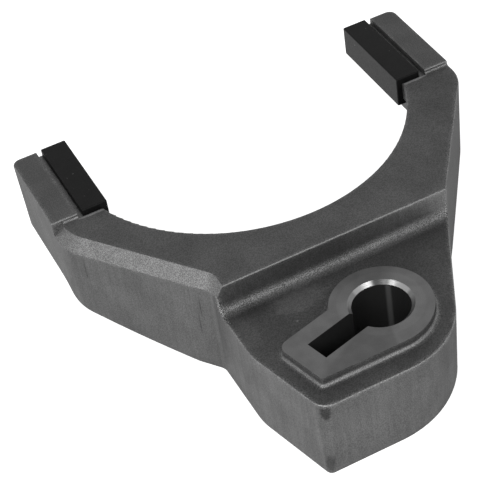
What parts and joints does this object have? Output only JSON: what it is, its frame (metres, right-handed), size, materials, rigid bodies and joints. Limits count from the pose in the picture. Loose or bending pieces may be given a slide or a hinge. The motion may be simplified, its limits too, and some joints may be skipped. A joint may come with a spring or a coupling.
{
  "type": "transmission shift fork",
  "caption": "Cast yoke that slides on a selector rail and moves a gearbox's clutch sleeve with wear pads clipped onto its tips; its stepped boss has a keyed bore.",
  "frame": {"origin": "on the rail bore's axis, at the flat base of the boss", "axes": "+Z along the rail bore, out of the machined face; +Y towards the fork's open end; +X to the right arm"},
  "size_m": [0.1782, 0.1757, 0.0499],
  "materials": {
    "cast_steel": "as cast, shot blasted",
    "pad_plastic": "matte, moulded"
  },
  "bodies": {
    "root": {"fork_casting": "cast_steel", "left_pad": "pad_plastic", "right_pad": "pad_plastic"}
  },
  "joints": []
}
